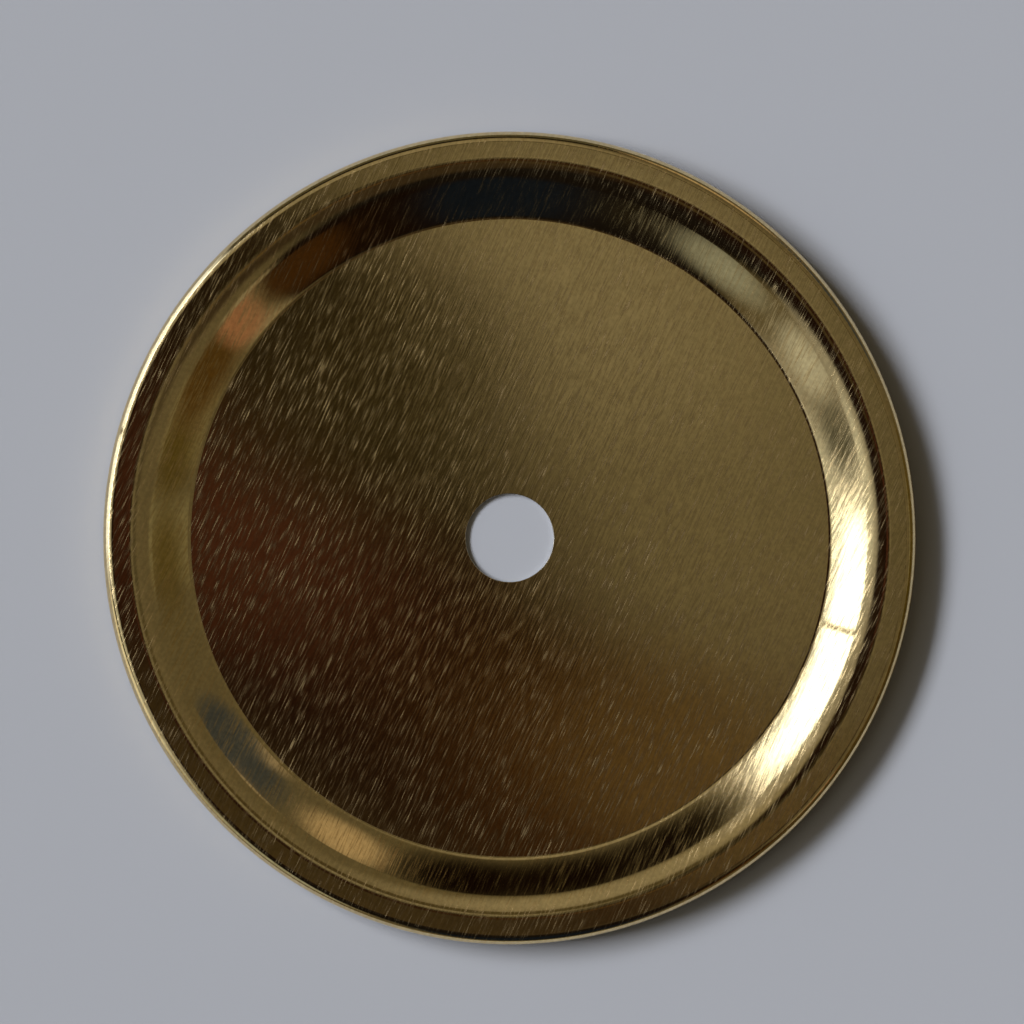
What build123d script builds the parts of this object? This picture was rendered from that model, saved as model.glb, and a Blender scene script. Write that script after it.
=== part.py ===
"""Mason jar lid: the flat disc that a screw band holds down on the jar, with a hole for a straw.

The lid is one blank of tinplate, pressed and punched, with the same sheet thickness all over.
From the middle outwards its section runs: the straw hole, a flat panel that drops into the jar's mouth,
a wall that slopes up out of the recess, a soft shoulder, the flat rim that covers the glass lip,
and a rounded edge turned down into a short skirt. Under the rim, wall and skirt enclose the ring-shaped
channel that the glass lip fits into.

Units are millimetres. +Z is up, with the lid the way it lies on a jar. The origin is on the lid's axis,
in the plane of the panel's underside, which is the face the lid rests on when it lies on a table.
"""

import os

from build123d import *

# The sheet
SHEET_THICKNESS = 0.22
PUNCHED_EDGE_RADIUS = 0.05  # the shear rounds the upper edge of the hole and the outer edge of the skirt

# Plan of the pressing
LID_DIAMETER = 70.0  # over the skirt, which the screw band centres
STRAW_HOLE_DIAMETER = 7.6
RIM_WIDTH = 3.3  # from the skirt in to the line where the wall would meet the rim, were it not rounded
WALL_RUN = 3.99  # the width that the sloping wall takes, seen from above

# Heights
LID_HEIGHT = 2.3  # from the panel's underside to the top of the rim
SKIRT_DROP = 1.6  # from the top of the rim to the lower edge of the skirt

# Bends, each measured on the upper, gold side of the sheet
PANEL_BEND_RADIUS = 0.8
SHOULDER_BEND_RADIUS = 4.5
EDGE_BEND_RADIUS = 0.95

# What follows from them
lid_radius = LID_DIAMETER / 2
hole_radius = STRAW_HOLE_DIAMETER / 2
shoulder_radius = lid_radius - RIM_WIDTH
panel_radius = shoulder_radius - WALL_RUN
skirt_edge_height = LID_HEIGHT - SKIRT_DROP


with BuildPart() as lid_disc:
    with BuildSketch(Plane.XZ) as sheet_section:
        with BuildLine():
            # The upper surface of the sheet, from the straw hole to the skirt's lower edge
            FilletPolyline(
                (hole_radius, SHEET_THICKNESS),
                (panel_radius, SHEET_THICKNESS),
                (shoulder_radius, LID_HEIGHT),
                (lid_radius, LID_HEIGHT),
                (lid_radius, skirt_edge_height),
                radius=[PANEL_BEND_RADIUS, SHOULDER_BEND_RADIUS, EDGE_BEND_RADIUS],
            )
            # The under surface, one sheet thickness away, and the two sheared ends
            offset(amount=SHEET_THICKNESS, side=Side.RIGHT)
        make_face()
        hole_corner = sheet_section.vertices().sort_by(Axis.X)[:2].sort_by(Axis.Y)[-1]
        skirt_corner = sheet_section.vertices().group_by(Axis.X)[-1].sort_by(Axis.Y)[0]
        fillet([hole_corner, skirt_corner], radius=PUNCHED_EDGE_RADIUS)
    revolve(axis=Axis.Z)

lid_disc.part.label = "lid_disc"

os.makedirs("parts", exist_ok=True)
export_step(lid_disc.part, "parts/lid_disc.step")
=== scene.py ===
"""Mason jar lid: the finished disc in gold lacquered tinplate, with its floor, light and camera.

Everything is in metres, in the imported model's frame: +Z is up, and the origin is on the disc's axis in the
plane of its underside.
"""

import math

import bpy
import numpy as np
from bpy.props import FloatProperty, FloatVectorProperty, PointerProperty
from bpy.types import Operator, Panel, PropertyGroup
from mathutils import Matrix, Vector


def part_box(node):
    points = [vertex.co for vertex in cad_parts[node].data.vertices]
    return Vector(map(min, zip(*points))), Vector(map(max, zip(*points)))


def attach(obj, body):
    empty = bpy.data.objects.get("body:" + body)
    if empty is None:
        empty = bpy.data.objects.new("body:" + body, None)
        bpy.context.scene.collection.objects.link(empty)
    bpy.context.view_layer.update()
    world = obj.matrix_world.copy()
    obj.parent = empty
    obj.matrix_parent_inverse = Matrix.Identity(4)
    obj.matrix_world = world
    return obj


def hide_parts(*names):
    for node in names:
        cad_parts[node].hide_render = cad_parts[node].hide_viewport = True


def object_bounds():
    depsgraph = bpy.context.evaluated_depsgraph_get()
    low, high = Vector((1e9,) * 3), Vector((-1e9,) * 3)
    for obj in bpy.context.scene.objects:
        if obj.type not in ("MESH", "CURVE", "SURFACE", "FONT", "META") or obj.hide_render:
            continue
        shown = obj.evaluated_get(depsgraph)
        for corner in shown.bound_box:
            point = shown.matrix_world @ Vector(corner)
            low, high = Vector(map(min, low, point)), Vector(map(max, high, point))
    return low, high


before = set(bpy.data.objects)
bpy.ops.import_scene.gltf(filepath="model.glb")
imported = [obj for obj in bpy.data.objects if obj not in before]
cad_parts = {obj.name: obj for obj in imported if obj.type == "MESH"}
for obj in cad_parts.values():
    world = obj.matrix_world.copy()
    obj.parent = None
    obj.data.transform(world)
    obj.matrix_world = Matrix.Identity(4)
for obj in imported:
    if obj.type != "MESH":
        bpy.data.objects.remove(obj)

bl_info = {
    "name": "Mason Jar Lid",
    "version": (1, 0, 0),
    "blender": (4, 5, 0),
    "location": "View3D > Sidebar > Jar Lid",
    "description": "Presses a mason jar lid with a straw hole out of gold lacquered tinplate",
    "category": "Add Mesh",
}

MM = 0.001
LID_NODE = "lid_disc"
BODY = "root"
FINISH_SLOT = "gold_lacquered_tinplate"

CAD_LOW, CAD_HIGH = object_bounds()
LID_LOW, LID_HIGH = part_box(LID_NODE)
LID_WIDTH = round(max(LID_HIGH.x - LID_LOW.x, LID_HIGH.y - LID_LOW.y), 4)

# How finely the disc is meshed: steps round the axis, and steps on each line and bend of its section
STEPS_ROUND = 480
STEPS_PANEL = 3
STEPS_LINE = 1
STEPS_SMALL_BEND = 8
STEPS_WALL = 12
STEPS_SHOULDER = 18
STEPS_EDGE = 20
STEPS_PUNCHED = 4


# ---------------------------------------------------------------------------------------------------------
# What a user would change
# ---------------------------------------------------------------------------------------------------------


def length(name, description, default):
    """A size in metres, shown in the scene's own units."""
    return FloatProperty(
        name=name, description=description, default=default, min=1e-6, unit="LENGTH", precision=5
    )


def share(name, description, default, top=1.0):
    """A plain number from nothing to top."""
    return FloatProperty(name=name, description=description, default=default, min=0.0, max=top)


def colour(name, description, default):
    """A linear colour."""
    return FloatVectorProperty(
        name=name, description=description, default=default, size=3, min=0.0, max=1.0, subtype="COLOR"
    )


def turn(name, description, degrees):
    """An angle, given here in degrees."""
    return FloatProperty(
        name=name, description=description, default=math.radians(degrees), subtype="ANGLE", unit="ROTATION"
    )


class JarLidSizes(PropertyGroup):
    """The sizes of the pressing."""

    lid_diameter: length("Lid diameter", "Across the outside of the skirt", LID_WIDTH)
    lid_height: length("Lid height", "From the panel's underside to the rim's top", LID_HIGH.z - LID_LOW.z)
    sheet_thickness: length("Sheet thickness", "Of the tinplate", 0.22 * MM)
    straw_hole_diameter: length("Straw hole diameter", "Through the middle of the panel", 7.6 * MM)
    rim_width: length("Rim width", "From the skirt to the corner over the wall", 3.3 * MM)
    wall_run: length("Wall run", "How far the sloping wall reaches inwards", 3.99 * MM)
    skirt_drop: length("Skirt drop", "From the top of the rim to the skirt's lower edge", 1.6 * MM)
    panel_bend_radius: length("Panel bend radius", "Where the panel turns up into the wall", 0.8 * MM)
    shoulder_bend_radius: length("Shoulder bend radius", "Where the wall turns into the rim", 4.5 * MM)
    edge_bend_radius: length("Edge bend radius", "Where the rim turns down into the skirt", 0.95 * MM)
    wall_bow: turn("Wall bow", "How much flatter the wall starts, where the sheet sprang back", 1.5)
    punched_edge_radius: length("Punched edge radius", "Left by the shear at hole and skirt", 0.05 * MM)


class JarLidFinish(PropertyGroup):
    """The gold lacquer and the marks rubbed into it."""

    lacquer_colour: colour("Lacquer colour", "Gold lacquer over bright tin", (0.78, 0.62, 0.33))
    worn_colour: colour("Worn colour", "Lacquer where it lies thinner", (0.80, 0.56, 0.25))
    cut_edge_colour: colour("Cut edge colour", "Bare steel at the punched edges", (0.60, 0.58, 0.54))
    polish_roughness: share("Polish roughness", "Of the lacquer between the rub marks", 0.05)
    mark_roughness: share("Rub mark roughness", "Of the lacquer in a rub mark", 0.20)
    mark_spread: share("Rub mark spread", "How much more the marks scatter light across than along", 1.0)
    mark_direction: turn("Rub mark direction", "The way the sheet was rubbed, from +X", 65.0)
    mark_length: length("Rub mark length", "Of a usual mark", 2.3 * MM)
    mark_width: length("Rub mark width", "Of a usual mark", 0.155 * MM)
    mark_depth: length("Rub mark depth", "Of a usual mark", 0.0025 * MM)
    ripple_depth: length("Ripple depth", "Of the slow unevenness of the pressing", 0.007 * MM)


class JarLidStage(PropertyGroup):
    """The floor, the light and the camera."""

    floor_colour: colour("Floor colour", "A plain pale cloth grey", (0.452, 0.446, 0.456))
    floor_half_width: length("Floor half width", "From the middle to a side", 1.6)
    window_brightness: share("Window brightness", "Of the panes, where 1 is white", 31.0, 100.0)
    camera_distance: length("Camera distance", "Above the rim", 350.0 * MM)
    camera_field: length("Camera field", "Width seen at the height of the rim", 88.06 * MM)
    camera_right: length("Camera right", "Of the disc's axis", 0.2 * MM)
    camera_up: length("Camera up", "Of the disc's axis", 2.24 * MM)


# ---------------------------------------------------------------------------------------------------------
# Shapes
# ---------------------------------------------------------------------------------------------------------


def straight(start, end, steps):
    """Points evenly spaced from start to end, each with the normal on the left of the way they run.

    p(s) = start + s (end - start), and n is the direction turned a quarter turn anticlockwise.
    """
    start, end = np.asarray(start, float), np.asarray(end, float)
    along = (end - start) / np.linalg.norm(end - start)
    s = np.linspace(0.0, 1.0, steps + 1)[:, None]
    return start + s * (end - start), np.repeat([[-along[1], along[0]]], steps + 1, axis=0)


def bend(centre, radius, first, last, side, steps):
    """Points on an arc from angle first to angle last.

    p(a) = centre + radius (cos a, sin a), and n = side (cos a, sin a): side is 1 on the outside of the bend
    and -1 on the inside.
    """
    a = np.linspace(first, last, steps + 1)[:, None]
    ray = np.hstack([np.cos(a), np.sin(a)])
    return np.asarray(centre) + radius * ray, side * ray


def bowed(start, end, first, last, steps):
    """Points on the cubic from start to end that leaves at slope angle first and arrives at slope angle last.

    p(t) = (2t^3 - 3t^2 + 1) start + (t^3 - 2t^2 + t) u + (3t^2 - 2t^3) end + (t^3 - t^2) v, where u and v
    are the two slopes' directions, each as long as the chord. n is dp/dt turned a quarter turn anticlockwise.
    """
    start, end = np.asarray(start, float), np.asarray(end, float)
    chord = np.linalg.norm(end - start)
    u = chord * np.array([math.cos(first), math.sin(first)])
    v = chord * np.array([math.cos(last), math.sin(last)])
    t = np.linspace(0.0, 1.0, steps + 1)[:, None]
    points = (
        (2 * t**3 - 3 * t**2 + 1) * start
        + (t**3 - 2 * t**2 + t) * u
        + (3 * t**2 - 2 * t**3) * end
        + (t**3 - t**2) * v
    )
    along = 6 * (t - t**2) * (end - start) + (3 * t**2 - 4 * t + 1) * u + (3 * t**2 - 2 * t) * v
    along = along / np.linalg.norm(along, axis=1, keepdims=True)
    return points, np.stack([-along[:, 1], along[:, 0]], axis=1)


def corner_bend(before, corner, after, radius, steps, left_out=0.0):
    """The arc that rounds a corner of a path, without the last part of its turn that is left out.

    It touches both sides: its ends lie radius * tan(turn / 2) from the corner, and its centre is square to
    the first side at the touching point, on the side that the path turns to.
    """
    before, corner, after = (np.asarray(p, float) for p in (before, corner, after))
    u = (corner - before) / np.linalg.norm(corner - before)
    v = (after - corner) / np.linalg.norm(after - corner)
    turned = math.atan2(u[0] * v[1] - u[1] * v[0], u @ v)
    way = math.copysign(1.0, turned)
    touch = corner - radius * math.tan(abs(turned) / 2) * u
    centre = touch + way * radius * np.array([-u[1], u[0]])
    first = math.atan2(touch[1] - centre[1], touch[0] - centre[0])
    return bend(centre, radius, first, first + turned - way * left_out, -way, steps)


def sheet_section(s):
    """The closed section of the sheet, in the plane of radius and height, as runs of (points, normals).

    It goes out along the upper side, as straight lines joined by tangent arcs with a slightly bowed wall,
    and back along the lower side, which is the upper side less thickness * normal. It runs clockwise, so the
    metal is on its right and the normals are on its left.
    """
    thick, punched = s.sheet_thickness, s.punched_edge_radius
    rim, hole = s.lid_diameter / 2, s.straw_hole_diameter / 2
    top, lip = s.lid_height, s.lid_height - s.skirt_drop
    shoulder = rim - s.rim_width
    panel = shoulder - s.wall_run
    slope = math.atan2(top - thick, s.wall_run)
    path = [(hole, thick), (panel, thick), (shoulder, top), (rim, top), (rim, lip)]
    panel_bend = corner_bend(*path[0:3], s.panel_bend_radius, STEPS_SMALL_BEND, s.wall_bow)
    shoulder_bend = corner_bend(*path[1:4], s.shoulder_bend_radius, STEPS_SHOULDER)
    edge_bend = corner_bend(*path[2:5], s.edge_bend_radius, STEPS_EDGE)

    upper = [
        straight((hole, thick), panel_bend[0][0], STEPS_PANEL),
        panel_bend,
        bowed(panel_bend[0][-1], shoulder_bend[0][0], slope - s.wall_bow, slope, STEPS_WALL),
        shoulder_bend,
        straight(shoulder_bend[0][-1], edge_bend[0][0], STEPS_LINE),
        edge_bend,
        straight(edge_bend[0][-1], (rim, lip), STEPS_LINE),
    ]
    lower = [((points - thick * normals)[::-1], -normals[::-1]) for points, normals in reversed(upper)]
    upper[0] = straight((hole + punched, thick), panel_bend[0][0], STEPS_PANEL)
    upper[-1] = straight(edge_bend[0][-1], (rim, lip + punched), STEPS_LINE)
    return [
        bend((hole + punched, thick - punched), punched, math.pi, math.pi / 2, 1, STEPS_PUNCHED),
        *upper,
        bend((rim - punched, lip + punched), punched, 0.0, -math.pi / 2, 1, STEPS_PUNCHED),
        straight((rim - punched, lip), (rim - thick, lip), STEPS_LINE),
        *lower,
        straight((hole, 0.0), (hole, thick - punched), STEPS_LINE),
    ]


def turned_mesh(name, runs, steps_round):
    """A closed mesh of a section carried round the Z axis.

    p(i, a) = (r_i cos a, r_i sin a, z_i), for section point i and angle a, and each corner's normal is the
    section's own there, turned by a: (n_r cos a, n_r sin a, n_z). Runs that meet at a bend share their
    normals, and runs that meet at a corner don't, so the corner stays crisp.
    """
    points = np.vstack([p[:-1] for p, _ in runs])
    n_first = np.vstack([n[:-1] for _, n in runs])
    n_last = np.vstack([n[1:] for _, n in runs])
    count = len(points)
    a = np.arange(steps_round) * (2 * math.pi / steps_round)
    ray = np.stack([np.cos(a), np.sin(a)], axis=1)
    verts = np.empty((steps_round, count, 3))
    verts[:, :, :2] = ray[:, None, :] * points[None, :, :1]
    verts[:, :, 2] = points[:, 1]

    j, i = np.meshgrid(np.arange(steps_round), np.arange(count), indexing="ij")
    j_next, i_next = (j + 1) % steps_round, (i + 1) % count
    quads = np.stack(
        [j * count + i, j * count + i_next, j_next * count + i_next, j_next * count + i], axis=-1
    ).reshape(-1, 4)

    def carried(normals, step):
        r = ray[step]
        return np.stack([normals[i, 0] * r[..., 0], normals[i, 0] * r[..., 1], normals[i, 1]], axis=-1)

    corner_normals = np.stack(
        [carried(n_first, j), carried(n_last, j), carried(n_last, j_next), carried(n_first, j_next)], axis=2
    ).reshape(-1, 3)

    mesh = bpy.data.meshes.new(name)
    mesh.vertices.add(steps_round * count)
    mesh.vertices.foreach_set("co", verts.astype(np.float32).ravel())
    mesh.loops.add(quads.size)
    mesh.loops.foreach_set("vertex_index", quads.astype(np.int32).ravel())
    mesh.polygons.add(len(quads))
    mesh.polygons.foreach_set("loop_start", np.arange(0, quads.size, 4, dtype=np.int32))
    mesh.polygons.foreach_set("use_smooth", np.ones(len(quads), bool))
    mesh.update(calc_edges=True)
    mesh.validate()
    mesh.normals_split_custom_set(corner_normals.astype(np.float32))
    return mesh


# ---------------------------------------------------------------------------------------------------------
# Materials
# ---------------------------------------------------------------------------------------------------------


class Nodes:
    """Short hand for adding nodes and links to one node tree."""

    def __init__(self, tree):
        tree.nodes.clear()
        self.tree = tree

    def add(self, kind, inputs=None, **settings):
        """A node with its settings, then its inputs: a value is set, a socket is linked."""
        node = self.tree.nodes.new(kind)
        for key, value in settings.items():
            setattr(node, key, value)
        for key, value in (inputs or {}).items():
            if isinstance(value, bpy.types.NodeSocket):
                self.tree.links.new(value, node.inputs[key])
            else:
                node.inputs[key].default_value = value
        return node

    def math(self, operation, a, b=0.0, clamp=False):
        """One sum on two numbers or sockets."""
        return self.add("ShaderNodeMath", {0: a, 1: b}, operation=operation, use_clamp=clamp).outputs[0]

    def spread(self, value, low, high, to_low=0.0, to_high=1.0, smooth=True):
        """value carried from low..high to to_low..to_high, and held at both ends."""
        node = self.add(
            "ShaderNodeMapRange",
            {"Value": value, "From Min": low, "From Max": high, "To Min": to_low, "To Max": to_high},
            interpolation_type="SMOOTHSTEP" if smooth else "LINEAR",
        )
        return node.outputs["Result"]

    def noise(self, place, scale, detail, roughness=0.5):
        """Plain noise from 0 to 1, with that many bumps to a unit of place."""
        inputs = {"Vector": place, "Scale": scale, "Detail": detail, "Roughness": roughness}
        return self.add("ShaderNodeTexNoise", inputs).outputs["Fac"]

    def mix(self, factor, a, b):
        """Colour a where factor is 0, and colour b where it is 1."""
        node = self.add("ShaderNodeMix", data_type="RGBA", clamp_factor=True)
        for socket, value in ((node.inputs[0], factor), (node.inputs[6], a), (node.inputs[7], b)):
            if isinstance(value, bpy.types.NodeSocket):
                self.tree.links.new(value, socket)
            elif socket is node.inputs[0]:
                socket.default_value = value
            else:
                socket.default_value = (*value, 1.0)
        return node.outputs[2]


# The kinds of rub mark: length and width against a usual mark, fineness, and a shift that keeps them apart
BROAD_MARKS = (1.6, 1.8, 1.0, 0.011)
USUAL_MARKS = (1.0, 1.0, 1.0, 0.023)
SHARP_MARKS = (0.7, 0.65, 0.0, 0.037)
MARK_NOISE_ROUGHNESS = 0.6

# How strong the noise has to be for a mark to start and to be full, and how much such a mark adds
USUAL_MARK_RANGE = (0.50, 0.78)
SHARP_MARK_RANGE = (0.57, 0.80)
MARK_STRENGTH = 0.9
MARK_WEAR = 0.8

# Unevenness of the lacquer: how many bumps to a metre
PATCHES_PER_METRE = 140.0
SLOW_WAVES_PER_METRE = 55.0
FINE_SPECKS_PER_METRE = 2800.0

# From a cut edge, how far its bare steel is full, and where the lacquer starts
STEEL_FULL = 0.015 * MM
LACQUER_START = 0.04 * MM
SKIRT_EDGE_BLEND = 0.03 * MM


def lacquer_material(finish, hole_radius, skirt_radius, skirt_height):
    """Gold lacquered tinplate: short straight rub marks that all run one way, and bare steel at cut edges."""
    material = bpy.data.materials.new(FINISH_SLOT)
    material.use_nodes = True
    n = Nodes(material.node_tree)
    place = n.add("ShaderNodeTexCoord").outputs["Object"]

    def marks(length_scale, width_scale, detail, shift):
        """Noise drawn out along the rubbing, from 0 to 1."""
        turned = n.add(
            "ShaderNodeMapping",
            {
                "Vector": place,
                "Location": (shift, shift, 0.0),
                "Rotation": (0.0, 0.0, finish.mark_direction),
                "Scale": (
                    finish.mark_length * length_scale,
                    finish.mark_width * width_scale,
                    finish.mark_length,
                ),
            },
            vector_type="TEXTURE",
        ).outputs[0]
        return n.noise(turned, 1.0, detail, MARK_NOISE_ROUGHNESS)

    broad, usual, sharp = marks(*BROAD_MARKS), marks(*USUAL_MARKS), marks(*SHARP_MARKS)
    patchy = n.noise(place, PATCHES_PER_METRE, 2.0)
    slow = n.noise(place, SLOW_WAVES_PER_METRE, 1.0)
    fine = n.noise(place, FINE_SPECKS_PER_METRE, 1.0)

    # Where the sheet is rubbed: the usual and the sharp marks together, lighter in patches
    usual_marks = n.math("MULTIPLY", n.spread(usual, *USUAL_MARK_RANGE, smooth=False), MARK_STRENGTH)
    sharp_marks = n.math("MULTIPLY", n.spread(sharp, *SHARP_MARK_RANGE, smooth=False), MARK_STRENGTH)
    scuffed = n.math("ADD", usual_marks, sharp_marks, clamp=True)
    worn = n.math("MULTIPLY", scuffed, n.spread(patchy, 0.25, 0.75, 0.65, 1.0), clamp=True)
    roughness = n.spread(worn, 0.0, 1.0, finish.polish_roughness, finish.mark_roughness, smooth=False)

    # The lacquer's colour, a little lighter and darker over the sheet
    gold = n.mix(n.math("MULTIPLY", worn, MARK_WEAR), finish.lacquer_colour, finish.worn_colour)
    uneven = n.math("ADD", n.math("MULTIPLY", broad, 0.6), n.math("MULTIPLY", slow, 0.4))
    tone = n.math("MULTIPLY", n.spread(uneven, 0.3, 0.7, 0.92, 1.06), n.spread(fine, 0.3, 0.7, 0.93, 1.07))
    gold = n.add("ShaderNodeVectorMath", {0: gold, 1: tone}, operation="MULTIPLY").outputs[0]

    # Bare steel on the hole's edge and on the skirt's lower edge
    apart = n.add("ShaderNodeSeparateXYZ", {"Vector": place}).outputs
    x_squared = n.math("MULTIPLY", apart["X"], apart["X"])
    y_squared = n.math("MULTIPLY", apart["Y"], apart["Y"])
    radius = n.math("SQRT", n.math("ADD", x_squared, y_squared))
    at_hole = n.spread(radius, hole_radius + STEEL_FULL, hole_radius + LACQUER_START, 1.0, 0.0)
    low = n.spread(apart["Z"], skirt_height + STEEL_FULL, skirt_height + LACQUER_START, 1.0, 0.0)
    outermost = n.spread(radius, skirt_radius - SKIRT_EDGE_BLEND, skirt_radius, smooth=False)
    cut = n.math("MAXIMUM", at_hole, n.math("MULTIPLY", low, outermost))
    surface_colour = n.mix(cut, gold, finish.cut_edge_colour)

    # Relief: the slow unevenness of the pressing, then the rub marks
    height = n.math("ADD", n.math("MULTIPLY", usual, 0.55), n.math("MULTIPLY", broad, 0.5))
    ripple = n.add(
        "ShaderNodeBump", {"Strength": 1.0, "Distance": finish.ripple_depth, "Height": slow}
    ).outputs[0]
    relief = n.add(
        "ShaderNodeBump",
        {"Strength": 1.0, "Distance": finish.mark_depth, "Height": height, "Normal": ripple},
    ).outputs[0]

    # The marks scatter light square to themselves
    across = n.add(
        "ShaderNodeVectorTransform",
        {"Vector": (-math.sin(finish.mark_direction), math.cos(finish.mark_direction), 0.0)},
        vector_type="VECTOR",
        convert_from="OBJECT",
        convert_to="WORLD",
    ).outputs[0]
    shader = n.add(
        "ShaderNodeBsdfPrincipled",
        {
            "Base Color": surface_colour,
            "Metallic": 1.0,
            "Roughness": roughness,
            "Anisotropic": finish.mark_spread,
            "Tangent": across,
            "Normal": relief,
        },
    )
    n.add("ShaderNodeOutputMaterial", {"Surface": shader.outputs[0]})
    return material


def floor_material(floor_colour):
    """A plain pale matt cloth grey."""
    material = bpy.data.materials.new("pale_floor")
    material.use_nodes = True
    n = Nodes(material.node_tree)
    shader = n.add(
        "ShaderNodeBsdfPrincipled",
        {"Base Color": (*floor_colour, 1.0), "Roughness": 0.95, "Specular IOR Level": 0.1},
    )
    n.add("ShaderNodeOutputMaterial", {"Surface": shader.outputs[0]})
    return material


# ---------------------------------------------------------------------------------------------------------
# Light
# ---------------------------------------------------------------------------------------------------------

# What the metal mirrors of the room's walls and ceiling: (compass angle from +X, angle from straight up,
# radius, softness, colour), each angle in degrees and each laid over the ones before it. Colours are linear.
ROOM_TONE = (0.118, 0.100, 0.060)
ROOM_PATCHES = (
    (60, 12, 15, 8, (0.134, 0.113, 0.068)),
    (40, 2.5, 6.8, 2.6, (0.168, 0.147, 0.093)),
    (112, 28, 15, 9, (0.270, 0.240, 0.170)),
    (72, 3.6, 1.8, 1.6, (0.235, 0.210, 0.148)),
    (5, 8.7, 3.2, 2.0, (0.082, 0.070, 0.040)),
    (30, 9.0, 3.0, 1.2, (0.078, 0.062, 0.028)),
    (57, 9.0, 3.2, 1.2, (0.062, 0.046, 0.020)),
    (84, 9.0, 3.0, 1.2, (0.068, 0.052, 0.022)),
    (112, 8.7, 3.2, 2.0, (0.075, 0.060, 0.028)),
    (211, 19.7, 20, 1.1, (0.011, 0.0045, 0.0025)),
    (215, 7.8, 1.9, 1.6, (0.056, 0.040, 0.018)),
    (238, 7.8, 1.9, 1.6, (0.060, 0.044, 0.020)),
    (262, 7.8, 1.9, 1.6, (0.060, 0.044, 0.020)),
    (268, 36, 20, 6, (0.008, 0.006, 0.005)),
    (275, 60, 18, 6, (0.006, 0.009, 0.018)),
    (245, 40, 13, 5, (0.008, 0.006, 0.005)),
    (298, 46, 11, 4, (0.008, 0.004, 0.002)),
    (307, 57.5, 8.8, 2, (0.046, 0.020, 0.005)),
    (300, 15, 8, 6, (0.040, 0.028, 0.016)),
    (180, 3.7, 1.6, 1.2, (0.060, 0.021, 0.012)),
    (138, 2.9, 1.8, 1.0, (0.024, 0.018, 0.007)),
    (280, 3.8, 1.2, 1.0, (0.044, 0.018, 0.005)),
    (304, 4.2, 1.1, 1.0, (0.115, 0.075, 0.030)),
    (155, 43, 18, 4, (0.300, 0.280, 0.240)),
    (192, 43, 18, 4, (0.330, 0.325, 0.300)),
    (190, 42, 8, 5, (0.520, 0.540, 0.530)),
    (165, 15.5, 5.5, 3, (0.014, 0.006, 0.002)),
    (82, 65, 17.5, 3, (0.005, 0.002, 0.001)),
    (100, 66, 18.5, 3, (0.005, 0.002, 0.001)),
    (117, 65, 17.5, 3, (0.005, 0.002, 0.001)),
    (0, 46.8, 5.5, 2, (0.180, 0.160, 0.095)),
    (340, 46.8, 5.5, 2, (0.160, 0.138, 0.080)),
    (3, 63, 13.2, 1.5, (0.084, 0.062, 0.017)),
    (345, 63, 13, 2, (0.068, 0.048, 0.006)),
    (38, 60, 12.5, 1.5, (0.045, 0.052, 0.062)),
    (43, 46.8, 2.4, 1.3, (0.290, 0.240, 0.170)),
    (61, 60, 10.8, 1.5, (0.450, 0.350, 0.225)),
    (59, 74, 8, 5, (0.110, 0.095, 0.060)),
    (331, 63, 14, 1.8, (0.070, 0.036, 0.007)),
    (317, 45, 3.6, 2.4, (0.270, 0.235, 0.165)),
    (321, 52.5, 3.2, 1.4, (0.300, 0.150, 0.090)),
    (197, 60, 9.8, 1.5, (0.050, 0.050, 0.035)),
    (211, 60, 9.8, 1.5, (0.520, 0.540, 0.530)),
    (232, 63, 13, 2.2, (0.310, 0.335, 0.320)),
    (200, 76, 13, 4, (0.850, 0.850, 0.800)),
    (219, 76, 6, 4, (0.450, 0.430, 0.350)),
    (330, 77, 22, 5, (0.055, 0.040, 0.014)),
    (78, 78, 17, 4, (0.090, 0.084, 0.055)),
    (98, 78, 17, 4, (0.090, 0.084, 0.055)),
    (120, 78, 17, 4, (0.090, 0.084, 0.055)),
)

# The window: its middle's compass angle and half width, the slopes at which its bands end, from the sill to
# the head, each band's share of the brightness, and its glazing bar
WINDOW_TURN = 161.0
WINDOW_HALF_WIDTH = 0.445
WINDOW_SOFTNESS = 0.02
WINDOW_SIDE_SOFTNESS = 0.08
WINDOW_SLOPES = (0.0, 0.488, 0.76, 0.862, 0.96)
WINDOW_SHARES = (0.04, 1.0, 0.09, 0.018)
WINDOW_TINT = (0.93, 1.0, 1.12)
GLAZING_BAR = 0.07
GLAZING_BAR_HALF_WIDTH = 0.010

# How bright each band looks where the metal mirrors it, which differs from how strongly it lights the scene
WINDOW_MIRRORED = (
    (1.25, 1.40, 1.75),
    (1.25, 1.40, 1.75),
    (5.20, 5.40, 6.00),
    (0.55, 0.60, 0.66),
)

BACKDROP_TONE = (0.40, 0.405, 0.43)
BACKDROP_TOP = 0.12


def compass(turn_degrees, from_up_degrees):
    """The direction with that compass angle from +X and that angle from straight up."""
    t, u = math.radians(turn_degrees), math.radians(from_up_degrees)
    return (math.sin(u) * math.cos(t), math.sin(u) * math.sin(t), math.cos(u))


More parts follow.
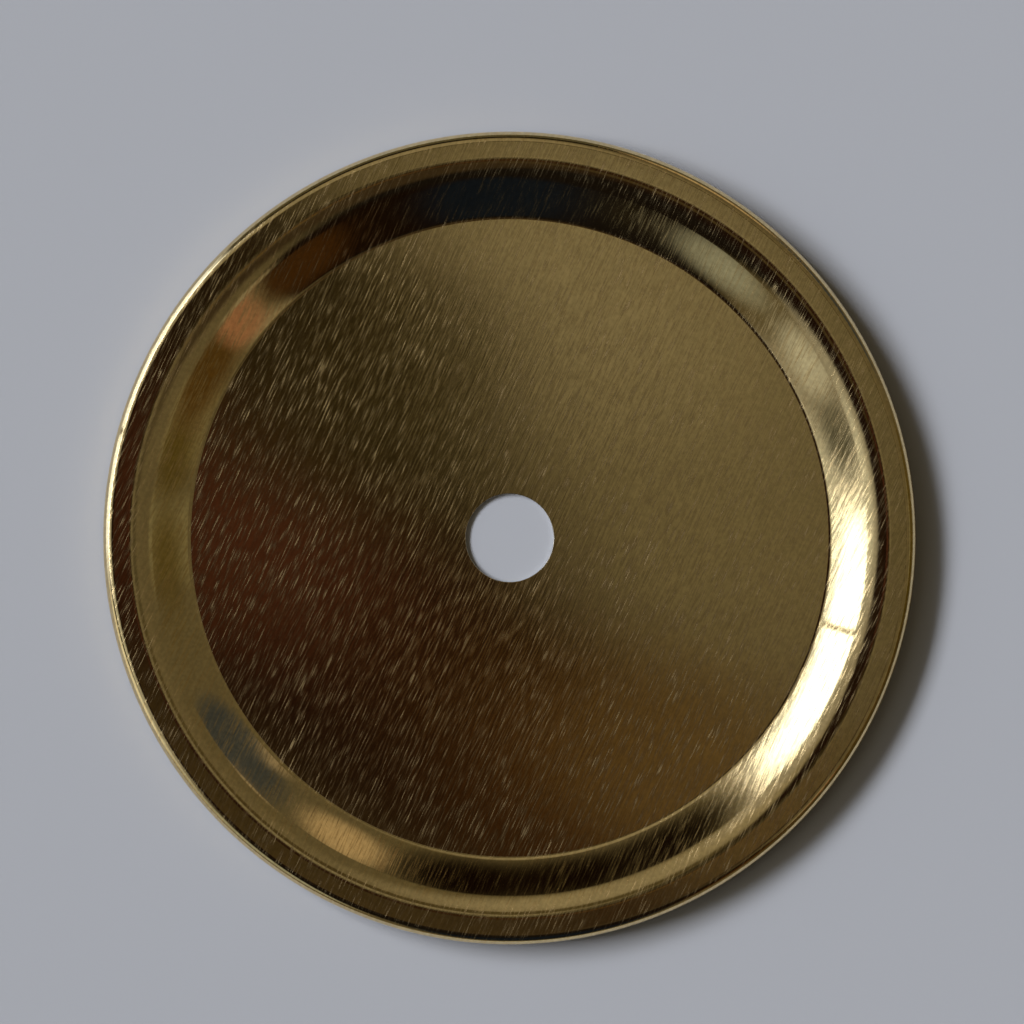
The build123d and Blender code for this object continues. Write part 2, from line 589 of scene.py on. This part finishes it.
def light_the_room(window_brightness):
    """A dim room with one tall window: soft round patches of tone by direction, then the window's panes.

    A patch's weight is a smooth step of the cosine between the direction and the patch's middle. The window
    is a rectangle in the plane that faces its middle: across = d.side / d.out and up = d.z / d.out.
    """
    world = bpy.data.worlds.new("dim_room")
    bpy.context.scene.world = world
    world.use_nodes = True
    n = Nodes(world.node_tree)
    d = n.add("ShaderNodeTexCoord").outputs["Generated"]
    d = n.add("ShaderNodeVectorMath", {0: d}, operation="NORMALIZE").outputs[0]

    def toward(vector):
        return n.add("ShaderNodeVectorMath", {0: d, 1: vector}, operation="DOT_PRODUCT").outputs["Value"]

    tone = ROOM_TONE
    for turn_degrees, from_up, radius, softness, patch in ROOM_PATCHES:
        inner = math.cos(math.radians(max(radius - softness, 0.0)))
        outer = math.cos(math.radians(radius + softness))
        weight = n.spread(toward(compass(turn_degrees, from_up)), outer, inner)
        tone = n.mix(weight, tone, patch)

    z = toward((0.0, 0.0, 1.0))
    tone = n.mix(n.spread(z, 0.0, BACKDROP_TOP, 1.0, 0.0), tone, BACKDROP_TONE)

    t = math.radians(WINDOW_TURN)
    out = toward((math.cos(t), math.sin(t), 0.0))
    side = toward((-math.sin(t), math.cos(t), 0.0))
    out_safe = n.math("MAXIMUM", out, 0.001)
    across = n.math("DIVIDE", side, out_safe)
    up = n.math("DIVIDE", z, out_safe)

    def within(value, half, soft):
        return n.spread(n.math("ABSOLUTE", value), half - soft, half + soft, 1.0, 0.0)

    pane = within(across, WINDOW_HALF_WIDTH, WINDOW_SIDE_SOFTNESS)
    bar = within(n.math("SUBTRACT", across, GLAZING_BAR), GLAZING_BAR_HALF_WIDTH, GLAZING_BAR_HALF_WIDTH / 2)
    pane = n.math("MULTIPLY", pane, n.math("SUBTRACT", 1.0, bar))
    mirrored = n.add("ShaderNodeLightPath").outputs["Is Glossy Ray"]
    for low, high, part, seen in zip(WINDOW_SLOPES, WINDOW_SLOPES[1:], WINDOW_SHARES, WINDOW_MIRRORED):
        off_middle = n.math("SUBTRACT", up, (low + high) / 2)
        band = n.math("MULTIPLY", pane, within(off_middle, (high - low) / 2, WINDOW_SOFTNESS))
        lit = tuple(window_brightness * part * c for c in WINDOW_TINT)
        tone = n.mix(band, tone, n.mix(mirrored, lit, seen))
    shader = n.add("ShaderNodeBackground", {"Color": tone, "Strength": 1.0})
    n.add("ShaderNodeOutputWorld", {"Surface": shader.outputs[0]})


# ---------------------------------------------------------------------------------------------------------
# Operators
# ---------------------------------------------------------------------------------------------------------


class JARLID_OT_disc(Operator):
    """Press the lid disc and give it its gold lacquer."""

    bl_idname = "jar_lid.disc"
    bl_label = "Lid disc"

    def execute(self, context):
        sizes, finish = context.scene.jar_lid_sizes, context.scene.jar_lid_finish
        mesh = turned_mesh("lid_disc_pressing", sheet_section(sizes), STEPS_ROUND)
        mesh.materials.append(
            lacquer_material(
                finish,
                sizes.straw_hole_diameter / 2,
                sizes.lid_diameter / 2 - sizes.sheet_thickness,
                sizes.lid_height - sizes.skirt_drop,
            )
        )
        disc = bpy.data.objects.new("lid_disc_pressing", mesh)
        context.scene.collection.objects.link(disc)
        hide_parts(LID_NODE)
        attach(disc, BODY)
        return {"FINISHED"}


class JARLID_OT_stage(Operator):
    """Lay the floor, light the room and set the camera above the disc."""

    bl_idname = "jar_lid.stage"
    bl_label = "Floor, light and camera"

    def execute(self, context):
        scene, stage = context.scene, context.scene.jar_lid_stage
        half, low = stage.floor_half_width, CAD_LOW.z - 0.09 * MM
        corners = np.array([(-1, -1), (1, -1), (1, 1), (-1, 1)]) * half
        mesh = bpy.data.meshes.new("floor")
        mesh.from_pydata([(x, y, low) for x, y in corners.tolist()], [], [(0, 1, 2, 3)])
        mesh.materials.append(floor_material(stage.floor_colour))
        floor = bpy.data.objects.new("floor", mesh)
        scene.collection.objects.link(floor)

        light_the_room(stage.window_brightness)
        scene.view_settings.view_transform = "Standard"

        lens = bpy.data.cameras.new("camera")
        lens.sensor_width = 36.0
        lens.lens = lens.sensor_width * stage.camera_distance / stage.camera_field
        lens.clip_start, lens.clip_end = 0.01, 10.0
        camera = bpy.data.objects.new("camera", lens)
        rim_height = CAD_HIGH.z - 0.5 * MM
        camera.location = (stage.camera_right, stage.camera_up, rim_height + stage.camera_distance)
        scene.collection.objects.link(camera)
        scene.camera = camera
        return {"FINISHED"}


class JARLID_PT_panel(Panel):
    """The lid's sizes, finish and stage, with a button for each."""

    bl_label = "Jar Lid"
    bl_idname = "JARLID_PT_panel"
    bl_space_type = "VIEW_3D"
    bl_region_type = "UI"
    bl_category = "Jar Lid"

    def draw(self, context):
        groups = (
            (context.scene.jar_lid_sizes, None),
            (context.scene.jar_lid_finish, JARLID_OT_disc),
            (context.scene.jar_lid_stage, JARLID_OT_stage),
        )
        for group, operator in groups:
            box = self.layout.box()
            for name in group.__annotations__:
                box.prop(group, name)
            if operator:
                box.operator(operator.bl_idname)


CLASSES = (JarLidSizes, JarLidFinish, JarLidStage, JARLID_OT_disc, JARLID_OT_stage, JARLID_PT_panel)


def register():
    for cls in CLASSES:
        bpy.utils.register_class(cls)
    bpy.types.Scene.jar_lid_sizes = PointerProperty(type=JarLidSizes)
    bpy.types.Scene.jar_lid_finish = PointerProperty(type=JarLidFinish)
    bpy.types.Scene.jar_lid_stage = PointerProperty(type=JarLidStage)


def unregister():
    del bpy.types.Scene.jar_lid_stage
    del bpy.types.Scene.jar_lid_finish
    del bpy.types.Scene.jar_lid_sizes
    for cls in reversed(CLASSES):
        bpy.utils.unregister_class(cls)


def main():
    """Makes the disc and its stage."""
    register()
    bpy.ops.jar_lid.disc()
    bpy.ops.jar_lid.stage()


if __name__ == "__main__":
    main()
